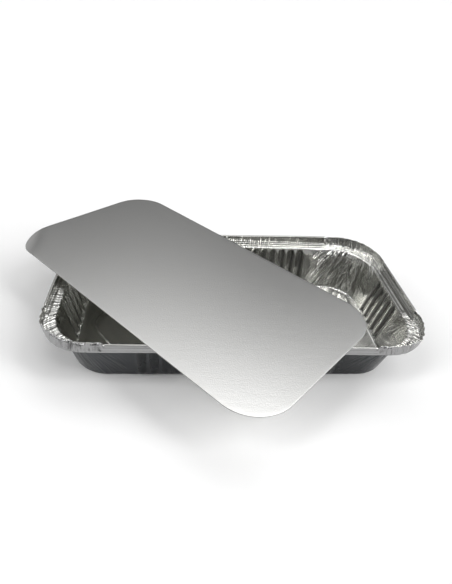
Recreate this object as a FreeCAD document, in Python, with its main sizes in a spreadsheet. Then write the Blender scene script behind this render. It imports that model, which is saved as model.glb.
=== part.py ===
import FreeCAD, Part
import Sketcher
import math
import os

# A rectangular foil food container: a pressed aluminium tray with fluted walls, a ledge and an
# upright hemmed rim, and the flat foil-faced board lid that lies askew on that rim.
# Millimetres, +Z up, origin in the middle of the tray's base, X along the tray's long side.

SIZES = [
    ("rim_length", 320, "tray, outside of the hem, along X"),
    ("rim_width", 171, "tray, outside of the hem, along Y"),
    ("tray_height", 52, "base to the top of the hem"),
    ("foil", 0.3, "sheet thickness as drawn"),
    ("foot_inset", 19, "rim outside to the foot of the wall"),
    ("foot_corner_radius", 33, "corner of the base in plan"),
    ("base_round", 2.5, "slope between base and wall"),
    ("wall_top_inset", 9.3, "rim outside to the inner edge of the ledge"),
    ("wall_top_corner_radius", 38, "corner of the ledge's inner edge in plan"),
    ("flange_height", 8.5, "ledge to the top of the hem"),
    ("flange_foot_inset", 0.8, "rim outside to the foot of the flange"),
    ("flange_foot_corner_radius", 39.2, "corner of the flange's foot in plan"),
    ("flange_top_corner_radius", 33, "corner of the flange's top in plan, flared"),
    ("flute_pitch", 10, "spacing of the wall flutes"),
    ("flute_width", 5.6, "width of one flute"),
    ("flute_depth", 1.3, "how far a flute stands out of the wall"),
    ("flute_fade", 5, "ledge to where a flute starts to close"),
    ("flute_cap", 2, "ledge to the closed top of a flute"),
    ("flute_cap_width", 2.8, "width of a flute at its closed top"),
    ("flute_cap_depth", 0.65, "depth of a flute at its closed top"),
    ("long_flutes", 17, "flutes on each long wall"),
    ("end_flutes", 5, "flutes on each end wall"),
    ("corner_pleats", 10, "pleats in each corner"),
    ("pleat_depth", 0.9, "depth of a wall pleat"),
    ("ledge_fold", 0.5, "depth of a fold across the ledge"),
    ("crinkle_depth", 0.6, "depth of a crinkle in the flange"),
    ("hem_width", 2.4, "flattened hem seen from above"),
    ("hem_drop", 3.2, "how far the turned edge comes down"),
    ("hem_bend", 0.75, "outer bend of the hem"),
    ("long_hem_setback", 53, "rim end to the end of a long hem"),
    ("end_hem_setback", 46.5, "rim side to the end of an end hem"),
    ("panel_height", 1.1, "raised panel of the base"),
    ("panel_slope", 1.4, "width of the panel's sloping edge"),
    ("panel_end_inset", 9.5, "foot of the end wall to the panel's tip"),
    ("panel_side_inset", 15, "foot of the long wall to the panel's side"),
    ("panel_tip_width", 14, "flat tip of the panel"),
    ("panel_taper", 34, "length of the panel's pointed end"),
    ("lid_length", 314.5, "board lid, long side"),
    ("lid_width", 164.3, "board lid, short side"),
    ("lid_thickness", 0.55, "board lid"),
    ("lid_corner_radius", 34, "corner of the lid"),
    ("lid_x", -46.96, "middle of the lid"),
    ("lid_y", 5.5, "middle of the lid"),
    ("lid_turn", 46.65, "turn of the lid about Z, clockwise, degrees"),
]

doc = FreeCAD.newDocument("foil_container")
sheet = doc.addObject("Spreadsheet::Sheet", "sizes")
for row, (alias, value, note) in enumerate(SIZES, start=1):
    sheet.set(f"A{row}", str(value))
    sheet.setAlias(f"A{row}", alias)
    sheet.set(f"B{row}", note)
doc.recompute()


def size(alias):
    return float(sheet.get(alias))


foil = size("foil")
half_length = size("rim_length") / 2
half_width = size("rim_width") / 2
ledge_z = size("tray_height") - size("flange_height")
flange_top_z = size("tray_height") - size("hem_bend")
QUARTER = math.pi / 2


def planar(edges):
    return Part.Face(Part.Wire(Part.__sortEdges__(edges)))


def ring_face(outer, inner):
    return Part.makeFace([outer, inner], "Part::FaceMakerBullseye")


class Level:
    """One closed outline of the sheet: four straight sides and four pleated corners."""

    def __init__(self, inset, radius, z, flute=(0, 0), pleat=0, fold=0):
        self.inset = inset
        self.radius = radius
        self.z = z
        self.flute_width, self.flute_depth = flute
        self.pleat = pleat
        self.fold = fold

    def side(self, turn):
        """Directions and reach of one side: 0 front, 1 right, 2 back, 3 left."""
        angle = QUARTER * (turn - 1)
        outward = FreeCAD.Vector(round(math.cos(angle)), round(math.sin(angle)), 0)
        along = FreeCAD.Vector(-outward.y, outward.x, 0)
        reach = [half_width, half_length][turn % 2] - self.inset
        half_run = [half_length, half_width][turn % 2] - self.inset - self.radius
        return outward, along, reach, half_run

    def side_stops(self, turn):
        """The points that divide one side: its two ends and both edges of each flute."""
        outward, along, reach, half_run = self.side(turn)
        stops = [-half_run]
        count = int(size(["long_flutes", "end_flutes"][turn % 2])) if self.flute_width else 0
        for index in range(count):
            middle = (index - (count - 1) / 2) * size("flute_pitch")
            stops += [middle - self.flute_width / 2, middle + self.flute_width / 2]
        stops.append(half_run)
        middle_point = outward * reach + FreeCAD.Vector(0, 0, self.z)
        return [middle_point + along * stop for stop in stops]

    def side_lines(self, turn):
        stops = self.side_stops(turn)
        return [Part.makeLine(a, b) for a, b in zip(stops, stops[1:])]

    def flute_arcs(self, turn):
        stops = self.side_stops(turn)
        bulge = self.side(turn)[0] * self.flute_depth
        pairs = zip(stops[1:-1:2], stops[2:-1:2])
        return [Part.Arc(a, (a + b) / 2 + bulge, b).toShape() for a, b in pairs]

    def corner_points(self, turn):
        """A quarter turn of pleats: every other crease lies inside the round and lower."""
        outward, along, reach, half_run = self.side(turn)
        centre = outward * (reach - self.radius) + along * half_run + FreeCAD.Vector(0, 0, self.z)
        steps = 2 * int(size("corner_pleats"))
        points = []
        for step in range(steps + 1):
            angle = QUARTER * (turn - 1 + step / steps)
            crease = step % 2
            spoke = FreeCAD.Vector(math.cos(angle), math.sin(angle), 0)
            points.append(centre + spoke * (self.radius - self.pleat * crease))
            points[-1].z -= self.fold * crease
        return points

    def wire(self):
        edges = []
        for turn in range(4):
            edges += self.side_lines(turn)
            points = self.corner_points(turn)
            edges += [Part.makeLine(a, b) for a, b in zip(points, points[1:])]
        return Part.Wire(edges)

    def flute_caps(self):
        """The small flat faces that close the flutes at this level."""
        caps = []
        for turn in range(4):
            chords = self.side_lines(turn)[1::2]
            caps += [planar([arc, chord]) for arc, chord in zip(self.flute_arcs(turn), chords)]
        return caps


def band(lower, upper):
    """The sheet between two levels: flutes run on where both levels have them."""
    faces = []
    for turn in range(4):
        low_lines = lower.side_lines(turn)
        high_lines = upper.side_lines(turn)
        if lower.flute_width and upper.flute_width:
            faces += [Part.makeRuledSurface(a, b) for a, b in zip(low_lines[::2], high_lines[::2])]
            pairs = zip(lower.flute_arcs(turn), upper.flute_arcs(turn))
            faces += [Part.makeRuledSurface(a, b) for a, b in pairs]
        else:
            low_stops = lower.side_stops(turn)
            high_stops = upper.side_stops(turn)
            ends = [Part.makeLine(low_stops[i], high_stops[i]) for i in (0, -1)]
            faces.append(planar(low_lines + high_lines + ends))
        low = lower.corner_points(turn)
        high = upper.corner_points(turn)
        for index in range(len(low) - 1):
            low_edge = Part.makeLine(low[index], low[index + 1])
            high_edge = Part.makeLine(high[index], high[index + 1])
            faces.append(Part.makeRuledSurface(low_edge, high_edge))
    return faces


def panel_ring(level, offset):
    """An eight-sided ring of the base panel, 0 at its foot and 1 at its top, with cut-off tips."""
    inset = size("panel_slope") * level + size("foot_inset") - offset / 2
    tip_x = half_length - size("panel_end_inset") - inset
    side_y = half_width - size("panel_side_inset") - inset
    tip_y = (size("panel_tip_width") + offset) / 2
    shoulder_x = tip_x - size("panel_taper")
    right = [(tip_x, -tip_y), (tip_x, tip_y), (shoulder_x, side_y)]
    ring = [(shoulder_x, -side_y)] + right + [(-x, -y) for x, y in [(shoulder_x, -side_y)] + right]
    z = size("panel_height") * level + offset
    return [FreeCAD.Vector(x, y, z) for x, y in ring]


def skin(offset):
    """One side of the sheet: its outside, or its inside at the foil's thickness.

    Returns the faces and the wire of the open top.
    """
    flute_width = size("flute_width")
    flute_depth = size("flute_depth")
    cap_depth = size("flute_cap_depth")
    foot_radius = size("foot_corner_radius")
    radius_growth = (size("wall_top_corner_radius") - foot_radius) / ledge_z
    wall_lean = (size("foot_inset") - size("wall_top_inset")) / ledge_z

    def flute_at(width, depth):
        return 2 * math.sqrt((width / 2) ** 2 - 2 * offset * depth), depth

    def wall_level(z, flute=(0, 0), fold=0, lift=0):
        inset = size("foot_inset") - wall_lean * z + offset
        radius = foot_radius + radius_growth * z - offset
        return Level(inset, radius, z + lift, flute, size("pleat_depth"), fold)

    full = flute_at(flute_width, flute_depth)
    cap = flute_at(size("flute_cap_width"), cap_depth)
    crinkle = size("crinkle_depth")
    fold = size("ledge_fold")
    ledge_lift = offset - foil
    base = Level(size("foot_inset") + size("base_round"), foot_radius - size("base_round"), offset)
    low = wall_level(size("base_round") + offset, full)
    shoulder = wall_level(ledge_z - size("flute_fade"), full)
    closed = wall_level(ledge_z - size("flute_cap") - offset, cap)
    ledge = wall_level(ledge_z, (0, 0), fold, ledge_lift)
    flange_foot = Level(
        size("flange_foot_inset") + offset,
        size("flange_foot_corner_radius") - offset,
        ledge_z + ledge_lift,
        pleat=crinkle,
        fold=fold,
    )
    flange_top = Level(
        size("hem_width") - foil + offset,
        size("flange_top_corner_radius") - offset,
        flange_top_z,
        pleat=crinkle,
    )
    levels = [base, low, shoulder, closed, ledge, flange_foot, flange_top]
    faces = low.flute_caps() + closed.flute_caps()
    for lower, upper in zip(levels, levels[1:]):
        faces += band(lower, upper)

    foot_ring = panel_ring(0, offset)
    top_ring = panel_ring(1, offset)
    foot_wire = Part.makePolygon(foot_ring + foot_ring[:1])
    top_wire = Part.makePolygon(top_ring + top_ring[:1])
    faces.append(ring_face(base.wire(), foot_wire))
    faces.append(Part.Face(top_wire))
    faces += [Part.makeRuledSurface(a, b) for a, b in zip(foot_wire.Edges, top_wire.Edges)]
    return faces, flange_top.wire()


def pressed_sheet():
    """The whole sheet below its hems: both skins, closed along the flange's top edge."""
    outside_faces, outside_edge = skin(0)
    inside_faces, inside_edge = skin(foil)
    faces = outside_faces + inside_faces + [ring_face(outside_edge, inside_edge)]
    skins = Part.makeCompound(faces)
    skins.sewShape()
    solid = Part.makeSolid(skins.Shells[0])
    if solid.Volume < 0:
        solid.reverse()
    return solid


def hem_section(half_out, half_run):
    """The hem's hook, in the plane across its run: up from the flange, over, and down outside."""
    top = size("tray_height")
    bend = size("hem_bend")
    width = size("hem_width")
    free_edge = top - size("hem_drop")
    diagonal = math.sqrt(0.5)

    def at(out, z):
        return FreeCAD.Vector(-half_run, width - half_out - out, z)

    def turn(centre_out, radius, side):
        springing = at(centre_out + side * radius, flange_top_z)
        middle = at(centre_out + side * radius * diagonal, flange_top_z + radius * diagonal)
        return Part.Arc(springing, middle, at(centre_out, flange_top_z + radius)).toShape()

    edges = [
        turn(bend, bend, -1),
        Part.makeLine(at(bend, top), at(width - bend, top)),
        turn(width - bend, bend, 1),
        Part.makeLine(at(width, flange_top_z), at(width, free_edge)),
        Part.makeLine(at(width, free_edge), at(width - foil, free_edge)),
        Part.makeLine(at(width - foil, free_edge), at(width - foil, flange_top_z)),
        turn(width - bend, bend - foil, 1),
        Part.makeLine(at(width - bend, top - foil), at(bend, top - foil)),
        turn(bend, bend - foil, -1),
        Part.makeLine(at(foil, flange_top_z), at(0, flange_top_z)),
    ]
    return Part.Wire(Part.__sortEdges__(edges))


def hem(name, turn, half_out, run_length):
    """One straight hem, made along the front and turned about Z to its side."""
    section = doc.addObject("Part::Feature", name + "_section")
    section.Shape = hem_section(half_out, run_length / 2)
    run = doc.addObject("Part::Extrusion", name)
    run.Base = section
    run.DirMode = "Custom"
    run.Dir = FreeCAD.Vector(1, 0, 0)
    run.LengthFwd = run_length
    run.Solid = True
    run.Placement.Rotation = FreeCAD.Rotation(FreeCAD.Vector(0, 0, 1), turn)
    return run


def make_tray():
    pressed = doc.addObject("Part::Feature", "pressed_sheet")
    pressed.Shape = pressed_sheet()
    long_hem = size("rim_length") - 2 * size("long_hem_setback")
    end_hem = size("rim_width") - 2 * size("end_hem_setback")
    tray = doc.addObject("Part::MultiFuse", "tray")
    tray.Shapes = [
        pressed,
        hem("front_hem", 0, half_width, long_hem),
        hem("right_hem", 90, half_length, end_hem),
        hem("back_hem", 180, half_width, long_hem),
        hem("left_hem", 270, half_length, end_hem),
    ]
    tray.Refine = False
    return tray


def lid_outline(sketch):
    """A rounded rectangle about the origin, its size and corners bound to the sheet."""
    length = size("lid_length")
    width = size("lid_width")
    radius = size("lid_corner_radius")
    reach = [width / 2, length / 2]
    for turn in range(4):
        angle = QUARTER * (turn - 1)
        outward = FreeCAD.Vector(round(math.cos(angle)), round(math.sin(angle)), 0)
        along = FreeCAD.Vector(-outward.y, outward.x, 0)
        out = outward * reach[turn % 2]
        run = along * (reach[(turn + 1) % 2] - radius)
        sketch.addGeometry(Part.LineSegment(out - run, out + run))
        circle = Part.Circle(out + run - outward * radius, FreeCAD.Vector(0, 0, 1), radius)
        sketch.addGeometry(Part.ArcOfCircle(circle, angle, angle + QUARTER))
    for piece in range(8):
        sketch.addConstraint(Sketcher.Constraint("Tangent", piece, 2, (piece + 1) % 8, 1))
    for arc in (3, 5, 7):
        sketch.addConstraint(Sketcher.Constraint("Equal", 1, arc))
    sketch.addConstraint(Sketcher.Constraint("Horizontal", 0))
    sketch.addConstraint(Sketcher.Constraint("Vertical", 2))
    sketch.addConstraint(Sketcher.Constraint("Symmetric", 1, 3, 5, 3, -1, 1))
    driving = [
        ("length", Sketcher.Constraint("DistanceX", 6, 1, 2, 1, length)),
        ("width", Sketcher.Constraint("DistanceY", 0, 1, 4, 1, width)),
        ("corner_radius", Sketcher.Constraint("Radius", 1, radius)),
    ]
    for name, constraint in driving:
        index = sketch.addConstraint(constraint)
        sketch.renameConstraint(index, name)
        sketch.setExpression(f".Constraints.{name}", f"sizes.lid_{name}")


def make_lid():
    """The board lid: a flat rounded rectangle that lies turned on top of the hems."""
    lid = doc.addObject("PartDesign::Body", "lid")
    plane = next(f for f in lid.Origin.OriginFeatures if f.Role == "XY_Plane")
    sketch = lid.newObject("Sketcher::SketchObject", "lid_sketch")
    sketch.AttachmentSupport = (plane, [""])
    sketch.MapMode = "FlatFace"
    lid_outline(sketch)
    board = lid.newObject("PartDesign::Pad", "board")
    board.Profile = sketch
    board.setExpression("Length", "sizes.lid_thickness")
    lid.Placement.Rotation = FreeCAD.Rotation(FreeCAD.Vector(0, 0, -1), 1)
    lid.setExpression("Placement.Rotation.Angle", "sizes.lid_turn")
    lid.setExpression("Placement.Base.x", "sizes.lid_x")
    lid.setExpression("Placement.Base.y", "sizes.lid_y")
    lid.setExpression("Placement.Base.z", "sizes.tray_height")
    return lid


parts = [make_tray(), make_lid()]
doc.recompute()
for item in doc.Objects:
    if "Invalid" in item.State or "Error" in item.State:
        raise RuntimeError(f"{item.Name} failed: {item.State}")
for part in parts:
    shape = part.Shape
    if shape.isNull() or not shape.isValid() or len(shape.Solids) != 1:
        raise RuntimeError(f"{part.Label} is not one sound solid")
os.makedirs("parts", exist_ok=True)
for part in parts:
    part.Shape.exportStep(f"parts/{part.Label}.step")
    print(part.Label, round(part.Shape.Volume), "mm3")
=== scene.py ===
import math

import bmesh
import bpy
import numpy as np
from mathutils import Matrix, Vector, noise


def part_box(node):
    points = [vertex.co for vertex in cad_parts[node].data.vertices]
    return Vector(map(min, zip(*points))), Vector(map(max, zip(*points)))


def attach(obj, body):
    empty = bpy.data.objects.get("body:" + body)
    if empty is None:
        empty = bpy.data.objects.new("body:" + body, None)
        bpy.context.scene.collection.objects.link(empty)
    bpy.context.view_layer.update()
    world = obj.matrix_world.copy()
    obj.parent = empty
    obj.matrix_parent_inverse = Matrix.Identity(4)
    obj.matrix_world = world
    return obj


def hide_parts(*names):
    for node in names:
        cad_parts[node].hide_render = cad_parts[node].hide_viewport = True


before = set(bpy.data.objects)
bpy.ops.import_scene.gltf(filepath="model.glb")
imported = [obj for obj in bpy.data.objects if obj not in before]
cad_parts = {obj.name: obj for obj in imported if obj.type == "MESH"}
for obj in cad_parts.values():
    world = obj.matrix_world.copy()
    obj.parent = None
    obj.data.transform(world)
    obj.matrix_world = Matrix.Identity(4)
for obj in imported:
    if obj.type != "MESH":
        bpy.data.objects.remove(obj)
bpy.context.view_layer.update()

MM = 0.001

# The tray's sizes in millimetres: insets are measured inward from the outside of the hem
TRAY_LOW, TRAY_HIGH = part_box("tray")
HALF_LENGTH = TRAY_HIGH[0] / MM
HALF_WIDTH = TRAY_HIGH[1] / MM
HEIGHT = TRAY_HIGH[2] / MM
FOIL = 0.22
RIM_RADIUS = 40
FOOT_INSET = 19
FOOT_RADIUS = 33
WALL_TOP_INSET = 9.3
WALL_TOP_RADIUS = 38
WALL_MIDDLE_INSET = 14
WALL_MIDDLE_RADIUS = 36
LEDGE_Z = HEIGHT - 8.5
BASE_ROUND = 3
PANEL_HEIGHT = 1.1

FLUTE_PITCH = 10
FLUTE_HALF_WIDTH = 3.9
FLUTE_DEPTH = 1.8
FLUTE_COUNTS = (17, 5, 17, 5)
HEM_HALF_RUNS = (107, 39, 109, 39)

# The sides go round anticlockwise from above, and each corner follows the side of the same number
FRONT, RIGHT, BACK, LEFT = range(4)
FRONT_RIGHT, BACK_RIGHT, BACK_LEFT, FRONT_LEFT = range(4)
FLUTED, PLAIN, ROUND = range(3)

# Where the samples stand: across a flute, along the plain runs beside the flutes, and round a corner
FLUTE_STEPS = np.array([-1, -0.86, -0.62, -0.32, 0, 0.32, 0.62, 0.86, 1])
LONG_PLAIN_STEPS = (0.1, 0.2, 0.27, 0.33, 0.39, 0.45, 0.66, 0.72, 0.78, 0.84, 0.9, 0.95, 1.0)
END_PLAIN_STEPS = (0.1, 0.25, 0.4, 0.75, 0.87, 1.0)
HEM_END_STEPS = np.array([-0.06, -0.015, 0.01, 0.035, 0.075])
CORNER_STEPS = 66

rng = np.random.default_rng(7)


def smooth(edge_low, edge_high, x):
    t = np.clip((x - edge_low) / (edge_high - edge_low), 0, 1)
    return t * t * (3 - 2 * t)


class Perimeter:
    """Sample places round the tray, anticlockwise from the front: four fluted sides, four corners."""

    def __init__(self):
        side, kind, value = [], [], []
        steps = FLUTE_STEPS * FLUTE_HALF_WIDTH
        for turn in range(4):
            half_zone = (FLUTE_COUNTS[turn] - 1) / 2 * FLUTE_PITCH
            middles = np.arange(-half_zone, half_zone + 1, FLUTE_PITCH)
            flute_places = (middles[:, None] + steps[None, :]).ravel()
            hem_end = self.hem_share(turn)
            near_hem = hem_end + HEM_END_STEPS
            far = np.array(END_PLAIN_STEPS if turn % 2 else LONG_PLAIN_STEPS)
            plain = np.sort(np.concatenate([near_hem, far[np.abs(far - hem_end) > 0.08]]))
            for places, code in ((-plain[::-1], PLAIN), (flute_places, FLUTED), (plain, PLAIN)):
                side += [turn] * len(places)
                kind += [code] * len(places)
                value += list(places)
            angles = np.linspace(0, 1, CORNER_STEPS + 2)[1:-1]
            side += [turn] * len(angles)
            kind += [ROUND] * len(angles)
            value += list(angles)
        self.side = np.array(side)
        self.kind = np.array(kind)
        self.value = np.array(value, float)
        self.count = len(side)
        angle = math.pi / 2 * (self.side - 1)
        self.out = np.stack([np.cos(angle), np.sin(angle)], 1).round()
        self.along = np.stack([-self.out[:, 1], self.out[:, 0]], 1)
        points, _ = self.outline(WALL_MIDDLE_INSET, WALL_MIDDLE_RADIUS)
        gaps = np.linalg.norm(np.diff(points, axis=0, append=points[:1]), axis=1)
        self.distance = np.concatenate([[0], np.cumsum(gaps)[:-1]])
        self.length = gaps.sum()

    def zone_half(self, turn):
        return (FLUTE_COUNTS[turn] - 1) / 2 * FLUTE_PITCH + FLUTE_HALF_WIDTH

    def hem_share(self, turn):
        run = (HALF_LENGTH, HALF_WIDTH)[turn % 2] - RIM_RADIUS
        return (HEM_HALF_RUNS[turn] - self.zone_half(turn)) / (run - self.zone_half(turn))

    def places(self, inset, radius):
        """The distance along its side of each sample, from the side's middle."""
        half_along = np.where(self.side % 2 == 0, HALF_LENGTH, HALF_WIDTH)
        run = half_along - inset - radius
        zone = np.array([self.zone_half(t) for t in self.side])
        plain = np.sign(self.value) * zone + (run - zone) * self.value
        beside = np.where(self.kind == PLAIN, plain, run)
        return np.where(self.kind == FLUTED, self.value, beside), run

    def outline(self, inset, radius):
        """The outline's points and outward directions at one level."""
        reach = np.where(self.side % 2 == 0, HALF_WIDTH, HALF_LENGTH) - inset
        place, run = self.places(inset, radius)
        points = self.out * reach[:, None] + self.along * place[:, None]
        directions = self.out.copy()
        corner = self.kind == ROUND
        angle = math.pi / 2 * (self.side - 1 + self.value)
        spoke = np.stack([np.cos(angle), np.sin(angle)], 1)
        centre = self.out * (reach - radius)[:, None] + self.along * run[:, None]
        points[corner] = (centre + spoke * radius)[corner]
        directions[corner] = spoke[corner]
        return points, directions


ring = Perimeter()


def corner_middle_offset():
    """How far each sample lies from the middle of its nearest corner, and which corner that is."""
    middles = []
    for turn in range(4):
        chosen = (ring.kind == ROUND) & (ring.side == turn)
        middles.append(np.interp(0.5, ring.value[chosen], ring.distance[chosen]))
    offsets = ring.distance[:, None] - np.array(middles)[None, :]
    offsets = (offsets + ring.length / 2) % ring.length - ring.length / 2
    nearest = np.abs(offsets).argmin(axis=1)
    return offsets[np.arange(ring.count), nearest], nearest


CORNER_OFFSET, NEAREST_CORNER = corner_middle_offset()


def cornerness():
    """1 in a corner and on the plain wall right beside it, falling to 0 at the flutes."""
    result = np.zeros(ring.count)
    result[ring.kind == ROUND] = 1
    plain = ring.kind == PLAIN
    result[plain] = smooth(0.22, 0.6, np.abs(ring.value[plain]))
    return result


CORNER = cornerness()

# How strongly each corner's wall is creased before and past its middle: the press leaves them uneven
CREASING = ((1.2, 1.2), (0.35, 1.35), (1.0, 0.5), (0.25, 0.6))


def wall_creasing():
    before = np.array([pair[0] for pair in CREASING])[NEAREST_CORNER]
    past = np.array([pair[1] for pair in CREASING])[NEAREST_CORNER]
    return CORNER * (before + (past - before) * smooth(-12, 2, CORNER_OFFSET))


WALL_CREASING = wall_creasing()


def corner_top_inset():
    """How far in the crinkled flange's top stands: it leans inward beside the front hem."""
    upright = np.full(ring.count, 0.3)
    lean = np.zeros(ring.count)
    left = NEAREST_CORNER == FRONT_LEFT
    right = NEAREST_CORNER == FRONT_RIGHT
    lean[left] = 3.4 * smooth(-16, 8, CORNER_OFFSET[left])
    lean[right] = 3.0 * (1 - smooth(-20, 0, CORNER_OFFSET[right]))
    return upright + lean * (ring.side != BACK)


FLANGE_FOOT_INSET = 0.8
CORNER_TOP_INSET = corner_top_inset()

# The ledge is folded most in the front right corner, and little in the next and the last
LEDGE_FOLDING = np.array((1.15, 0.25, 0.7, 0.22))[NEAREST_CORNER]


def hem_extent():
    """1 where the flange is hemmed, 0 elsewhere, and how far past the hem's end each sample lies."""
    place, _ = ring.places(0, RIM_RADIUS)
    past = np.where(ring.kind == ROUND, 10, np.abs(place) - np.array(HEM_HALF_RUNS)[ring.side])
    return 1 - smooth(-0.4, 0.8, past), past


HEMMED, PAST_HEM = hem_extent()


class Folds:
    """Sharp random folds across a strip: straight between crests, each with its own start and end."""

    HALF_REACH = 70

    def __init__(self, spacing, heights, reach=(0.0, 1.0), spread=(2.0, 3.0)):
        places = [-float(self.HALF_REACH)]
        while places[-1] < self.HALF_REACH:
            places.append(places[-1] + rng.uniform(*spacing))
        self.places = np.array(places)
        count = (4, len(places))
        turn = np.where(np.arange(len(places)) % 2, 1, -1)
        self.heights = rng.uniform(*heights, count) * turn
        self.middles = rng.uniform(*reach, count)
        self.spreads = rng.uniform(*spread, count)

    def at(self, offset, share):
        """The fold's height at these offsets from the corners' middles, at one share of its way."""
        result = np.zeros(ring.count)
        for corner in range(4):
            near = NEAREST_CORNER == corner
            away = np.abs(share - self.middles[corner]) / self.spreads[corner]
            fade = np.clip(1.5 - away * 1.5, 0, 1)
            result[near] = np.interp(offset[near], self.places, self.heights[corner] * fade)
        return result


WALL_FOLDS = (
    Folds((2.4, 4.2), (0.1, 0.5), (0.2, 1.0), (0.25, 0.8)),
    Folds((1.5, 2.4), (0.08, 0.42), (0.3, 1.0), (0.2, 0.7)),
    Folds((2.4, 4.5), (0.0, 0.25), (0.0, 1.0), (0.15, 0.5)),
)
LEDGE_FOLDS = (
    Folds((1.6, 3.4), (0.05, 0.34), (0.0, 1.0), (0.4, 1.4)),
    Folds((1.5, 3.0), (0.04, 0.3), (0.0, 1.0), (0.4, 1.2)),
)
FLANGE_FOLDS = (Folds((2.4, 4.6), (0.1, 0.42)), Folds((1.5, 2.8), (0.02, 0.2), (0, 1), (0.4, 1.0)))
EDGE_FOLDS = Folds((2.4, 6), (0.0, 0.35))


def wall_shift(height_share):
    """Outward movement of the corner walls: creases that fan out from the ledge to the base."""
    depth = (1 - height_share) * LEDGE_Z
    fan = CORNER_OFFSET / (1 + depth / 38)
    first = WALL_FOLDS[0].at(fan, height_share)
    second = WALL_FOLDS[1].at(CORNER_OFFSET / (1 + depth / 52), height_share)
    third = WALL_FOLDS[2].at(CORNER_OFFSET - depth * 0.35, height_share)
    upper = np.where(NEAREST_CORNER == FRONT_RIGHT, 1.7 * smooth(0.35, 0.8, height_share), 1)
    return (first + second + third) * WALL_CREASING * upper * 0.6


# The flange is creased where it has no hem, most in the front corners
FLANGE_CREASING = (1 - HEMMED) * np.array((2.0, 1.1, 1.1, 2.6))[NEAREST_CORNER]


def ledge_folds(share):
    """Folds across the ledge: those at its inner edge give way to others at its outer edge."""
    inner = LEDGE_FOLDS[0].at(CORNER_OFFSET + share * 1.5, share)
    outer = LEDGE_FOLDS[1].at(CORNER_OFFSET - share * 1.5, share)
    return (inner * (1.15 - share) + outer * (0.25 + share)) * CORNER * LEDGE_FOLDING


def flute_shift(z):
    """Outward movement of the flutes at one height, with rounded tops under the ledge."""
    zone = ring.kind == FLUTED
    count = np.array(FLUTE_COUNTS)[ring.side]
    phase = ring.value + (count - 1) / 2 * FLUTE_PITCH
    across = np.abs(phase - np.round(phase / FLUTE_PITCH) * FLUTE_PITCH)
    dome_foot = LEDGE_Z - 6
    dome_top = LEDGE_Z - 1.6
    rise = np.clip((z - dome_foot) / (dome_top - dome_foot), 0, 1)
    half_width = FLUTE_HALF_WIDTH * math.sqrt(max(1 - rise**2, 1e-4))
    low = smooth(0.6, 4, z)
    profile = np.cos(np.pi / 2 * np.clip(across / half_width, 0, 1)) ** 0.85
    return np.where(zone, profile * FLUTE_DEPTH * low * (1 - 0.5 * rise**2), 0)


def panel_scale(points, inset):
    """Where rays from the middle to these points cross the base panel's rounded eight-sided edge."""
    tip_x = HALF_LENGTH - FOOT_INSET - 9.5 - inset
    side_y = HALF_WIDTH - FOOT_INSET - 15 - inset
    taper = np.array([44.5, 34.0]) / math.hypot(44.5, 34.0)
    slant_reach = taper @ np.array([HALF_LENGTH - FOOT_INSET - 9.5, 7.0]) - inset
    unit = points / np.linalg.norm(points, axis=1)[:, None]
    x, y = np.abs(unit[:, 0]), np.abs(unit[:, 1])
    sharpness = 40
    terms = (x / tip_x) ** sharpness + (y / side_y) ** sharpness
    terms = terms + ((taper[0] * x + taper[1] * y) / slant_reach) ** sharpness
    return unit * terms[:, None] ** (-1 / sharpness)


def wall_outline(z):
    share = z / LEDGE_Z
    inset = FOOT_INSET + (WALL_TOP_INSET - FOOT_INSET) * share
    radius = FOOT_RADIUS + (WALL_TOP_RADIUS - FOOT_RADIUS) * share
    return ring.outline(inset, radius)


# The first rings of the wall, the ledge, the flange and the hem, as build_rings comes to them
ROW_STARTS = []

# The foil's outside lies below its rings, so the base is lifted to stand on the floor; the rim isn't
BASE_LIFT = FOIL * 1.25

FLANGE_BEADS = (0.3, 0.63)
HEM_INSET = 2.1
HEM_BEND = 0.5
HEM_DROPS = ((0.25, 0.25), (0.7, 0.3), (2.3, 0.0), (2.6, 0.35))


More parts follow.
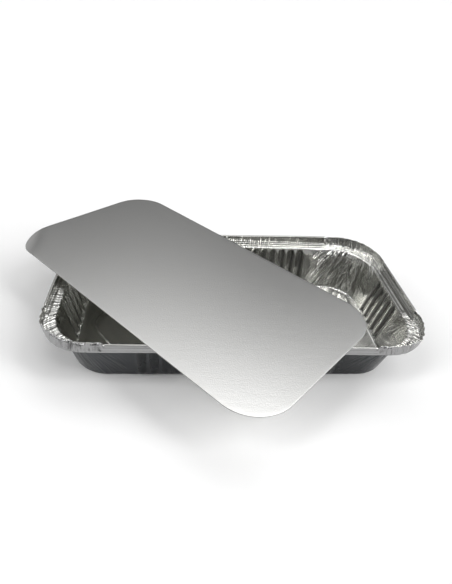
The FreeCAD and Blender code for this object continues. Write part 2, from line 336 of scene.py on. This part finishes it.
def build_rings():
    """All rings of the sheet, from the base's middle to the hem's turned edge: a list of (n, 3)."""
    rings = []

    def add(points, z):
        rings.append(np.column_stack([points, np.broadcast_to(z, ring.count) + BASE_LIFT]))

    flat_edge, _ = ring.outline(FOOT_INSET + 1.6, FOOT_RADIUS - 1.6)
    panel_top = panel_scale(flat_edge, 2.2)
    panel_foot = panel_scale(flat_edge, 0)
    for share in (0.3, 0.62, 0.9):
        add(panel_top * share, PANEL_HEIGHT)
    for share in (0, 0.33, 0.67, 1):
        drop = PANEL_HEIGHT * (1 - share * share * (3 - 2 * share))
        add(panel_top + (panel_foot - panel_top) * share, drop)
    for share in (0.35, 0.7, 1):
        add(panel_foot + (flat_edge - panel_foot) * share, 0)

    ROW_STARTS.append(len(rings))
    for share in (0.25, 0.5, 0.75, 1):
        turn = share * math.pi / 2 * 0.86
        inset = FOOT_INSET + 1.6 - (1.6 + 0.6) * math.sin(turn)
        z = BASE_ROUND * (1 - math.cos(turn))
        points, directions = ring.outline(inset, FOOT_RADIUS - (inset - FOOT_INSET))
        shift = flute_shift(z) + wall_shift(z / LEDGE_Z) * share
        add(points + directions * shift[:, None], z)

    walls = list(np.linspace(BASE_ROUND + 1, LEDGE_Z - 6, 12))
    walls += [LEDGE_Z - x for x in (5, 4.1, 3.3, 2.7, 2.2, 1.8, 1.45)]
    for z in walls:
        points, directions = wall_outline(z)
        shift = flute_shift(z) + wall_shift(z / LEDGE_Z)
        add(points + directions * shift[:, None], z)

    top_shift = wall_shift(1)
    ROW_STARTS.append(len(rings))
    for share in (0.35, 0.7, 1):
        inset = WALL_TOP_INSET + 0.3 - 1.2 * share**1.6
        points, directions = ring.outline(inset, WALL_TOP_RADIUS + 1 * share)
        z = LEDGE_Z - 1.1 * (1 - share) ** 1.6 + ledge_folds(0) * share
        add(points + directions * (top_shift * (1 - share))[:, None], z)
    for share in (0.2, 0.37, 0.45, 0.66, 0.74, 1):
        inset = 8.4 - (8.4 - FLANGE_FOOT_INSET - 0.4) * share
        radius = (WALL_TOP_RADIUS + 1) * (1 - share) + (RIM_RADIUS - FLANGE_FOOT_INSET - 0.4) * share
        points, directions = ring.outline(inset, radius)
        step = 0.35 * smooth(0.36, 0.46, share) - 0.2 * smooth(0.66, 0.74, share)
        add(points, LEDGE_Z + ledge_folds(share) + step)

    beaded = np.where(ring.side == BACK, 0.3, 1)
    notch = np.exp(-(((PAST_HEM - 1.6) / 1.1) ** 2))
    top_z = HEIGHT - HEM_BEND - (1 - HEMMED) * (0.1 + EDGE_FOLDS.at(CORNER_OFFSET, 0.5)) - notch * 0.9
    top_inset = HEM_INSET * HEMMED + CORNER_TOP_INSET * (1 - HEMMED)
    foot, directions = ring.outline(FLANGE_FOOT_INSET, RIM_RADIUS - FLANGE_FOOT_INSET)
    ROW_STARTS.append(len(rings))
    for share in (0.02, 0.12, 0.22, 0.3, 0.38, 0.55, 0.63, 0.71, 1):
        z = (LEDGE_Z + 0.35) * (1 - share) + top_z * share
        first = FLANGE_FOLDS[0].at(CORNER_OFFSET, share)
        second = FLANGE_FOLDS[1].at(CORNER_OFFSET, share)
        flange_shift = (first + second) * FLANGE_CREASING
        crease = flange_shift * (0.3 + 0.7 * share)
        bead = 0.0
        for middle in FLANGE_BEADS:
            bead += 0.28 * math.exp(-(((share - middle) / 0.06) ** 2)) * HEMMED * beaded
        inset = FLANGE_FOOT_INSET * (1 - share) + top_inset * share + bead
        add(foot + directions * (FLANGE_FOOT_INSET - inset + crease)[:, None], z)

    ROW_STARTS.append(len(rings))
    crown = foot + directions * (FLANGE_FOOT_INSET - top_inset + flange_shift)[:, None]
    width = np.maximum(top_inset - 0.02, 0.3) * HEMMED + 0.42 * (1 - HEMMED)
    bend = np.minimum(width / 2, HEM_BEND)
    for angle in (45, 90):
        c, s = math.cos(math.radians(angle)), math.sin(math.radians(angle))
        add(crown + directions * (bend * (1 - c))[:, None], top_z + bend * s)
    for angle in (90, 45, 0):
        c, s = math.cos(math.radians(angle)), math.sin(math.radians(angle))
        add(crown + directions * (width - bend + bend * c)[:, None], top_z + bend * s)
    for drop, tuck in HEM_DROPS:
        add(crown + directions * (width - tuck * HEMMED)[:, None], top_z - drop * (0.4 + 0.6 * HEMMED))
    return rings


def bow_out(points):
    """The thin tray isn't quite square: its right end's long sides bow out a little at the rim."""
    x, y, z = points.T
    back = smooth(-20, 110, x) * smooth(30, 85, y)
    front = smooth(20, 110, x) * smooth(30, 85, -y)
    upper = smooth(LEDGE_Z, HEIGHT, z)
    ledge = smooth(LEDGE_Z - 6, LEDGE_Z, z)
    lean = back * (1.2 * ledge + 1.6 * upper) - front * 1.2 * ledge
    return np.column_stack([x, y + lean, z + back * upper])


PLAIN_CREASE = 0.015


def crease_strengths(rows):
    """How strongly each ring's foil is crinkled too finely for the mesh, one value a sample."""
    table = np.full((rows, ring.count), PLAIN_CREASE)
    wall, ledge, flange, hem = ROW_STARTS
    table[wall:ledge] = PLAIN_CREASE + WALL_CREASING
    for row in range(wall, ledge):
        share = (row - wall) / (ledge - wall)
        table[row, NEAREST_CORNER == FRONT_RIGHT] *= 0.1 + 0.9 * smooth(0.3, 0.65, share)
    straight_ledge = np.array((0.3, 0.05, 0.25, 0.35))[ring.side]
    straight_flange = np.array((0.03, 0.02, 0.22, 0.03))[ring.side]
    corner_ledge = np.array((1.2, 0.3, 0.8, 0.7))[NEAREST_CORNER]
    table[ledge:flange] = straight_ledge * (1 - CORNER) + CORNER * corner_ledge
    table[flange:hem] = straight_flange + (1 - HEMMED) * 0.8
    table[hem:] = 0.04 + 0.5 * (1 - HEMMED)
    return table


def tick_strengths(rows):
    """Where the back's ledge and flange carry the fine upright marks of the curling tool."""
    table = np.zeros((rows, ring.count))
    _, ledge, _, hem = ROW_STARTS
    table[ledge:hem] = (1 - CORNER) * (ring.side == BACK)
    return table


def crease_places(rings):
    """Each sample's place in centimetres: across the creases, fanned on the walls, and along them."""
    wall, ledge, _, _ = ROW_STARTS
    across = np.zeros((len(rings), ring.count))
    along = [0.0]
    for row, points in enumerate(rings):
        depth = np.clip(LEDGE_Z - points[:, 2], 0, LEDGE_Z) * (row >= wall) * (row < ledge)
        fan = CORNER_OFFSET / (1 + depth / 38)
        across[row] = fan * 0.1 + NEAREST_CORNER * 20
        if row:
            along.append(along[-1] + np.median(np.linalg.norm(points - rings[row - 1], axis=1)))
    return across, np.array(along) * 0.1


def painted_shade_amounts(rings):
    """How much shade is painted into the foil's colour, which also makes it a little rougher: full in
    the flutes' grooves, less on one corner and on the right rim.
    """
    heights = np.array([points[:, 2].mean() for points in rings])
    depths = np.array([flute_shift(height) / FLUTE_DEPTH for height in heights])
    shaded_grooves = smooth(0.02, 0.3, depths) * np.array((1, 1, 1, 0.7))[ring.side]
    low = 1 - smooth(0.55, 0.85, heights[:, None] / LEDGE_Z)
    # Painted shade on the low plain wall of the front right corner
    painted_corner_shade = 0.6 * (NEAREST_CORNER == FRONT_RIGHT) * (ring.kind != FLUTED) * low
    wall, ledge, _, hem = ROW_STARTS
    shades = np.maximum(shaded_grooves, painted_corner_shade)
    shades[:wall] = 0
    shades[ledge:] = 0
    # Painted shade on the right rim's hemmed ledge and flange
    shades[ledge:hem] = 0.65 * HEMMED * (ring.side == RIGHT)
    return shades


def merge_points(mesh, distance, face_outward=False):
    """Joins points that coincide, which also removes the faces without area between them."""
    work = bmesh.new()
    work.from_mesh(mesh)
    bmesh.ops.remove_doubles(work, verts=work.verts, dist=distance)
    if face_outward:
        bmesh.ops.recalc_face_normals(work, faces=work.faces)
    work.to_mesh(mesh)
    work.free()


def sway(vertices, rows):
    """The walls' gentle unevenness, towards and away from a point above the tray."""
    amounts = np.zeros(len(vertices))
    for index, vertex in enumerate(vertices):
        place = Vector(vertex)
        amounts[index] = noise.noise(place * 0.045) * 0.22
        amounts[index] += noise.noise(place * 0.16 + Vector((9, 3, 1))) * 0.07
    away = vertices - np.array([0, 0, HEIGHT * 1.6])
    away /= np.linalg.norm(away, axis=1)[:, None]
    row = np.concatenate([[0], np.repeat(np.arange(rows), ring.count)])
    free = smooth(4, 14, row) * (1 - smooth(rows - 18, rows - 10, row))
    return vertices + away * (amounts * free)[:, None]


def make_tray():
    """The tray's one sheet, with its finish and painted shade kept at its points and its creases'
    places as UVs.
    """
    rings = build_rings()
    for points in rings:
        points[:, 2] -= BASE_LIFT * smooth(LEDGE_Z - 8, LEDGE_Z - 2, points[:, 2])
    count = ring.count
    rows = len(rings)
    vertices = np.concatenate([[[0, 0, PANEL_HEIGHT + BASE_LIFT]]] + rings)
    vertices = bow_out(sway(vertices, rows))
    faces = [(0, 1 + (i + 1) % count, 1 + i) for i in range(count)]
    for row in range(rows - 1):
        low, high = 1 + row * count, 1 + (row + 1) * count
        for i in range(count):
            j = (i + 1) % count
            faces.append((low + i, low + j, high + j, high + i))
    mesh = bpy.data.meshes.new("tray_sheet")
    mesh.from_pydata([tuple(v) for v in vertices * MM], [], faces)
    mesh.update()

    # The groove values are painted shade, which darkens the foil's colour; the crease and tick values
    # are relief
    finishes_and_painted_shade = (
        ("crease", crease_strengths(rows), 0.05),
        ("painted_groove_shade", painted_shade_amounts(rings), 0),
        ("ticks", tick_strengths(rows), 0),
    )
    for name, table, middle in finishes_and_painted_shade:
        attribute = mesh.attributes.new(name, "FLOAT", "POINT")
        attribute.data.foreach_set("value", np.concatenate([[middle], table.ravel()]))
    across, along = crease_places(rings)
    uv = mesh.uv_layers.new(name="sheet")
    coords = np.zeros((len(mesh.loops), 2))
    loop = 0
    for polygon in mesh.polygons:
        for vertex in polygon.vertices:
            if vertex == 0:
                coords[loop] = (0, -0.1)
            else:
                row, i = divmod(vertex - 1, count)
                coords[loop] = (across[row, i], along[row])
            loop += 1
    uv.data.foreach_set("uv", coords.ravel())
    for polygon in mesh.polygons:
        polygon.use_smooth = True
    merge_points(mesh, 0.000002)
    sheet = bpy.data.objects.new("tray_sheet", mesh)
    bpy.context.collection.objects.link(sheet)
    return sheet


tray = make_tray()


def thicken(piece, thickness):
    """Gives the sheet its real two sides."""
    bpy.context.view_layer.objects.active = piece
    solid = piece.modifiers.new("thickness", "SOLIDIFY")
    solid.thickness = thickness * MM
    solid.offset = 1
    solid.use_even_offset = False
    with bpy.context.temp_override(object=piece, active_object=piece):
        bpy.ops.object.modifier_apply(modifier=solid.name)


thicken(tray, FOIL)


# The places of the sheet's materials on its object, after the inside's; the outside's and the rim's
# are darker copies with painted shade
PAINTED_OUTSIDE_SHADE_SLOT, PAINTED_RIM_SHADE_SLOT = 1, 2


def paint_outside_shade(piece):
    """Gives the outward sides of the walls and of the flange their own materials: darker copies of the
    foil that paint in the shade of the floor they reflect.
    """
    for polygon in piece.data.polygons:
        x, y, z = polygon.center / MM
        nx, ny, nz = polygon.normal
        outward = nx * x / HALF_LENGTH**2 + ny * y / HALF_WIDTH**2
        if z < LEDGE_Z - 1.5:
            if nz < -0.6 or (abs(nz) < 0.75 and outward > 0):
                polygon.material_index = PAINTED_OUTSIDE_SHADE_SLOT
        elif outward > 0 and nz < 0.6:
            polygon.material_index = PAINTED_RIM_SHADE_SLOT


paint_outside_shade(tray)

# The lid's sizes: a flat rounded rectangle, turned about Z
LID_LENGTH = 314.5
LID_WIDTH = 164.3
LID_RADIUS = 34
LID_THICKNESS = 0.55
LID_TURN = math.radians(-46.65)
LID_MIDDLE = (-46.96, 5.5)
LID_BEVEL = 0.12
LID_SPACING = 4.4

# The lid's left tip bends down a little: where that starts, and the bend's radius
TIP_START = 186
TIP_BEND = 42

# The places of the board's bare underside and of its cut edge among the lid's materials
BOARD_SLOT, EDGE_SLOT = 1, 2

# The lid's rings, from its long middle line out to its edge
LID_RINGS = (0.12, 0.25, 0.38, 0.5, 0.61, 0.71, 0.8, 0.87, 0.925, 0.965, 0.99, 0.998, 1.0)


def lid_loop():
    """The lid's outline about its own middle, evenly spaced."""
    half_x, half_y = LID_LENGTH / 2 - LID_RADIUS, LID_WIDTH / 2 - LID_RADIUS
    points = []
    corners = (
        (half_x, -half_y, -90),
        (half_x, half_y, 0),
        (-half_x, half_y, 90),
        (-half_x, -half_y, 180),
    )
    for index, (cx, cy, start) in enumerate(corners):
        for angle in np.linspace(start, start + 90, 25):
            a = math.radians(angle)
            points.append((cx + LID_RADIUS * math.cos(a), cy + LID_RADIUS * math.sin(a)))
        nx, ny, next_start = corners[(index + 1) % 4]
        a = math.radians(next_start)
        target = np.array([nx + LID_RADIUS * math.cos(a), ny + LID_RADIUS * math.sin(a)])
        here = np.array(points[-1])
        pieces = int(np.linalg.norm(target - here) / LID_SPACING)
        for share in np.linspace(0, 1, pieces + 1)[1:-1]:
            points.append(tuple(here + (target - here) * share))
    return np.array(points)


def lid_place(points, z):
    """Points of the lid turned, set down on the rim and bent at the tip."""
    c, s = math.cos(LID_TURN), math.sin(LID_TURN)
    placed = points @ np.array([[c, s], [-s, c]]) + np.array(LID_MIDDLE)
    past = np.clip(-placed[:, 0] - TIP_START, 0, None)
    angle = past / TIP_BEND
    placed[:, 0] += past - TIP_BEND * np.sin(angle)
    return np.column_stack([placed, HEIGHT + z - TIP_BEND * (1 - np.cos(angle))])


def make_lid():
    """The lid's board: rings over its foil face, down its cut edge and back under it."""
    loop = lid_loop()
    count = len(loop)
    half_spine = (LID_LENGTH - LID_WIDTH) / 2
    spine = np.column_stack([np.clip(loop[:, 0], -half_spine, half_spine), np.zeros(count)])
    top = [spine] + [spine + (loop - spine) * share for share in LID_RINGS]
    top_z = [LID_THICKNESS] * (len(top) - 2) + [LID_THICKNESS - 0.02, LID_THICKNESS - LID_BEVEL]
    bottom_z = [0] * (len(top) - 2) + [0.01, 0.06]
    rows = [lid_place(points, z) for points, z in zip(top, top_z)]
    rows += [lid_place(points, z) for points, z in reversed(list(zip(top, bottom_z)))]
    vertices = np.concatenate(rows)
    faces = []
    for row in range(len(rows) - 1):
        low, high = row * count, (row + 1) * count
        for i in range(count):
            j = (i + 1) % count
            faces.append((low + i, high + i, high + j, low + j))
    mesh = bpy.data.meshes.new("lid_board")
    mesh.from_pydata([tuple(v) for v in vertices * MM], [], faces)
    mesh.update()
    for polygon in mesh.polygons:
        polygon.use_smooth = True
        row = polygon.index // count
        if row >= len(top) - 1:
            polygon.material_index = BOARD_SLOT
        if len(top) - 2 <= row <= len(top):
            polygon.material_index = EDGE_SLOT
            polygon.use_smooth = False
    merge_points(mesh, 0.00001, face_outward=True)
    lid = bpy.data.objects.new("lid_board", mesh)
    bpy.context.collection.objects.link(lid)
    return lid


lid = make_lid()


def shader(name):
    material = bpy.data.materials.new(name)
    material.use_nodes = True
    nodes = material.node_tree.nodes
    return material, nodes, material.node_tree.links, nodes["Principled BSDF"]


def node_at(nodes, kind, settings=None, **inputs):
    """A new node with the given settings and input values."""
    node = nodes.new(kind)
    for name, value in (settings or {}).items():
        setattr(node, name, value)
    for name, value in inputs.items():
        node.inputs[name.replace("_", " ")].default_value = value
    return node


def maths(nodes, links, operation, *values):
    """What a Math node makes of these numbers and other nodes' outputs."""
    node = node_at(nodes, "ShaderNodeMath", {"operation": operation})
    for socket, value in zip(node.inputs, values):
        if isinstance(value, (int, float)):
            socket.default_value = value
        else:
            links.new(value, socket)
    return node.outputs["Value"]


def bumped(nodes, links, height, distance, strength=1.0, under=None):
    """The normal with this relief added to the relief under it."""
    node = node_at(nodes, "ShaderNodeBump", Strength=strength, Distance=distance)
    links.new(height, node.inputs["Height"])
    if under is not None:
        links.new(under, node.inputs["Normal"])
    return node.outputs["Normal"]


# Painted shade: the foil's colour in the grooves falls to this share of the ridges' colour
PAINTED_SHADE_TONE = 0.5

# Fine creases: how closely they follow each other and how far they run, how bent and how deep
CREASE_LAYERS = ((8.0, 0.5, 0.3, 0.0008), (3.6, 0.4, 0.5, 0.001))

# The upright marks on the back rim, in centimetres apart
TICK_PITCH = 0.23


def foil_roughness(nodes, links, place, painted_groove_shade, roughness):
    """Uneven polish: patchy all over, duller near the floor and a little in the grooves."""
    split = nodes.new("ShaderNodeSeparateXYZ")
    links.new(place, split.inputs["Vector"])
    low = node_at(nodes, "ShaderNodeMapRange")
    low.inputs["From Min"].default_value = 0.0015
    low.inputs["From Max"].default_value = 0.006
    low.inputs["To Min"].default_value = roughness + 0.1
    low.inputs["To Max"].default_value = roughness
    links.new(split.outputs["Z"], low.inputs["Value"])
    patches = node_at(nodes, "ShaderNodeTexNoise", Scale=55, Detail=3)
    links.new(place, patches.inputs["Vector"])
    mottle = maths(nodes, links, "MULTIPLY_ADD", patches.outputs["Fac"], 0.12, low.outputs["Result"])
    duller = maths(nodes, links, "MULTIPLY_ADD", painted_groove_shade, 0.03, -0.06)
    return maths(nodes, links, "ADD", mottle, duller)


def foil_relief(nodes, links, place):
    """The foil's grain, the sharp creases where the press gathered it, and the back rim's marks."""
    fine = node_at(nodes, "ShaderNodeTexNoise", Scale=420, Detail=4)
    links.new(place, fine.inputs["Vector"])
    normal = bumped(nodes, links, fine.outputs["Fac"], 0.0003, 0.08)
    sheet = node_at(nodes, "ShaderNodeUVMap", {"uv_map": "sheet"})
    strength = node_at(nodes, "ShaderNodeAttribute", {"attribute_name": "crease"})
    for across, along, distortion, distance in CREASE_LAYERS:
        stretch = node_at(nodes, "ShaderNodeMapping", Scale=(across, along, 1))
        links.new(sheet.outputs["UV"], stretch.inputs["Vector"])
        ridges = node_at(
            nodes,
            "ShaderNodeTexNoise",
            {"noise_dimensions": "2D", "noise_type": "RIDGED_MULTIFRACTAL", "normalize": False},
            Scale=1,
            Detail=3,
            Distortion=distortion,
        )
        links.new(stretch.outputs["Vector"], ridges.inputs["Vector"])
        amount = maths(nodes, links, "MULTIPLY", ridges.outputs["Fac"], strength.outputs["Fac"])
        normal = bumped(nodes, links, amount, distance, under=normal)

    apart = nodes.new("ShaderNodeSeparateXYZ")
    links.new(sheet.outputs["UV"], apart.inputs["Vector"])
    phase = maths(nodes, links, "MULTIPLY", apart.outputs["X"], 2 * math.pi / TICK_PITCH)
    wave = maths(nodes, links, "SINE", phase)
    marked = node_at(nodes, "ShaderNodeAttribute", {"attribute_name": "ticks"})
    height = maths(nodes, links, "MULTIPLY", wave, marked.outputs["Fac"])
    return bumped(nodes, links, height, 0.0001, under=normal)


def foil_material(name, colour, roughness):
    """Bright foil, a little uneven all over, with shade painted into its colour in the grooves."""
    material, nodes, links, surface = shader(name)
    surface.inputs["Metallic"].default_value = 1
    painted_groove_shade = node_at(nodes, "ShaderNodeAttribute", {"attribute_name": "painted_groove_shade"})
    painted_shade_mix = node_at(nodes, "ShaderNodeMix", {"data_type": "RGBA"})
    # Painted shade: the colour darkens towards PAINTED_SHADE_TONE of itself where the attribute is 1
    painted_shade_mix.inputs["A"].default_value = colour
    painted_shade_mix.inputs["B"].default_value = (*[value * PAINTED_SHADE_TONE for value in colour[:3]], 1)
    links.new(painted_groove_shade.outputs["Fac"], painted_shade_mix.inputs["Factor"])
    links.new(painted_shade_mix.outputs["Result"], surface.inputs["Base Color"])
    place = nodes.new("ShaderNodeTexCoord").outputs["Object"]
    rough = foil_roughness(nodes, links, place, painted_groove_shade.outputs["Fac"], roughness)
    links.new(rough, surface.inputs["Roughness"])
    links.new(foil_relief(nodes, links, place), surface.inputs["Normal"])
    return material


def lid_face_material():
    """The lid's brushed foil face, with faint streaks and a fine grain."""
    material, nodes, links, surface = shader("lid_face")
    surface.inputs["Base Color"].default_value = (0.84, 0.84, 0.825, 1)
    surface.inputs["Metallic"].default_value = 1
    surface.inputs["Roughness"].default_value = 0.28
    place = nodes.new("ShaderNodeTexCoord").outputs["Object"]
    stretch = node_at(nodes, "ShaderNodeMapping", Scale=(0.6, 2.4, 1))
    links.new(place, stretch.inputs["Vector"])
    clouds = node_at(nodes, "ShaderNodeTexNoise", Scale=90, Detail=6, Roughness=0.7)
    links.new(stretch.outputs["Vector"], clouds.inputs["Vector"])
    specks = node_at(nodes, "ShaderNodeTexNoise", Scale=1100, Detail=2)
    links.new(place, specks.inputs["Vector"])
    streaks = bumped(nodes, links, clouds.outputs["Fac"], 0.0003, 0.22)
    grain = bumped(nodes, links, specks.outputs["Fac"], 0.0001, under=streaks)
    links.new(grain, surface.inputs["Normal"])
    return material


def board_material(name, colour):
    material, _, _, surface = shader(name)
    surface.inputs["Base Color"].default_value = colour
    surface.inputs["Roughness"].default_value = 0.7
    return material


tray.data.materials.append(foil_material("foil", (0.8, 0.8, 0.772, 1), 0.13))
# Painted shade: the outside and the rim are darker copies of the foil, standing in for the shaded
# floor they reflect
tray.data.materials.append(foil_material("foil_outside_painted_shade", (0.075, 0.079, 0.083, 1), 0.25))
tray.data.materials.append(foil_material("foil_rim_painted_shade", (0.33, 0.33, 0.33, 1), 0.2))
lid.data.materials.append(lid_face_material())
lid.data.materials.append(board_material("lid_board", (0.8, 0.8, 0.78, 1)))
lid.data.materials.append(board_material("lid_edge", (0.3, 0.3, 0.29, 1)))

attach(tray, "root")
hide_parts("tray")
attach(lid, "root")
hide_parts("lid")


def make_floor():
    bpy.ops.mesh.primitive_plane_add(size=60, location=(0, 20, 0))
    floor = bpy.context.object
    floor.name = "floor"
    material, _, _, surface = shader("floor")
    surface.inputs["Base Color"].default_value = (0.97, 0.97, 0.97, 1)
    surface.inputs["Roughness"].default_value = 0.9
    surface.inputs["Specular IOR Level"].default_value = 0.2
    floor.data.materials.append(material)


# Studio panels all round: heading from and to, height from and to, in degrees, and how bright each is
PANELS = (
    (115, 150, 6, 28, 0.35),
    (150, 180, 4, 30, 1.3),
    (180, 225, 4, 24, 0.4),
    (192, 212, 28, 66, 7.5),
    (270, 315, 4, 24, 0.3),
    (270, 315, 48, 76, 2.2),
    (328, 350, 4, 62, 7.8),
    (0, 45, 24, 48, 0.3),
    (0, 45, 48, 76, 1.2),
)

# Soft lights overhead behind the tray, which the lid shows: heading and height in degrees, and level
SOFT_LIGHTS = (
    (30, 28, 0.03),
    (50, 28, 0.16),
    (90, 28, 0.07),
    (30, 36, 0.08),
    (50, 36, 0.19),
    (30, 43, 0.1),
    (90, 43, 0.21),
    (110, 43, 0.17),
    (30, 50, 0.05),
    (50, 50, 0.09),
    (90, 50, 0.3),
    (110, 50, 0.8),
    (130, 50, 0.05),
    (30, 57, 0.02),
    (50, 57, 0.48),
    (70, 57, 0.7),
    (90, 57, 0.11),
    (110, 57, 0.16),
    (130, 57, 0.06),
    (30, 64, 0.03),
    (50, 64, 0.52),
    (70, 64, 1.5),
    (90, 64, 0.49),
    (110, 64, 0.05),
    (50, 72, 0.08),
    (70, 72, 0.21),
    (90, 72, 0.11),
    (150, 82, 0.02),
)
SOFT_LIGHT_TIGHTNESS = 60
ROOM_LEVEL = 0.045


def make_world():
    """Plain studio light: a dark room with bright panels to the sides and soft lights overhead."""
    world = bpy.data.worlds.new("studio")
    bpy.context.scene.world = world
    world.use_nodes = True
    nodes, links = world.node_tree.nodes, world.node_tree.links
    background = nodes["Background"]
    background.inputs["Color"].default_value = (1, 1, 1, 1)
    place = nodes.new("ShaderNodeTexCoord")
    split = nodes.new("ShaderNodeSeparateXYZ")
    links.new(place.outputs["Generated"], split.inputs["Vector"])
    heading = maths(nodes, links, "ARCTAN2", split.outputs["Y"], split.outputs["X"])
    height = maths(nodes, links, "ARCSINE", split.outputs["Z"])

    def within(angle, low, high):
        """1 where this angle lies between the two, which are given in degrees."""
        middle, half = math.radians((low + high) / 2), math.radians((high - low) / 2)
        return maths(nodes, links, "COMPARE", angle, middle, half)

    total = ROOM_LEVEL
    for heading_low, heading_high, height_low, height_high, level in PANELS:
        turn = 360 if heading_low >= 180 else 0
        across = within(heading, heading_low - turn, heading_high - turn)
        both = maths(nodes, links, "MULTIPLY", across, within(height, height_low, height_high))
        total = maths(nodes, links, "MULTIPLY_ADD", both, level, total)
    for around, up, level in SOFT_LIGHTS:
        around, up = math.radians(around), math.radians(up)
        toward = node_at(nodes, "ShaderNodeVectorMath", {"operation": "DOT_PRODUCT"})
        toward.inputs[1].default_value = (
            math.cos(around) * math.cos(up),
            math.sin(around) * math.cos(up),
            math.sin(up),
        )
        links.new(place.outputs["Generated"], toward.inputs[0])
        tightness = SOFT_LIGHT_TIGHTNESS
        falling = maths(nodes, links, "MULTIPLY_ADD", toward.outputs["Value"], tightness, -tightness)
        glow = maths(nodes, links, "EXPONENT", falling)
        total = maths(nodes, links, "MULTIPLY_ADD", glow, level, total)
    links.new(total, background.inputs["Strength"])


def make_camera():
    """The photograph's camera, from its fitted place, heading, tilt and roll."""
    heading, tilt, roll = 0.139587, 0.639492, 0.104444
    focal_pixels, image_height = 440.394, 584
    place = Vector((-53.07, -327.02, 285.24)) * MM
    forward = Vector(
        (math.sin(heading) * math.cos(tilt), math.cos(heading) * math.cos(tilt), -math.sin(tilt))
    )
    right = Vector((math.cos(heading), -math.sin(heading), 0))
    up = right.cross(forward)
    right, up = (
        right * math.cos(roll) + up * math.sin(roll),
        up * math.cos(roll) - right * math.sin(roll),
    )
    data = bpy.data.cameras.new("camera")
    data.sensor_width = 36
    data.lens = focal_pixels / image_height * data.sensor_width
    data.clip_start = 0.01
    camera = bpy.data.objects.new("camera", data)
    matrix = Matrix((right, up, -forward)).transposed().to_4x4()
    matrix.translation = place
    camera.matrix_world = matrix
    bpy.context.collection.objects.link(camera)
    bpy.context.scene.camera = camera


make_floor()
make_world()
make_camera()
bpy.context.scene.view_settings.view_transform = "Standard"
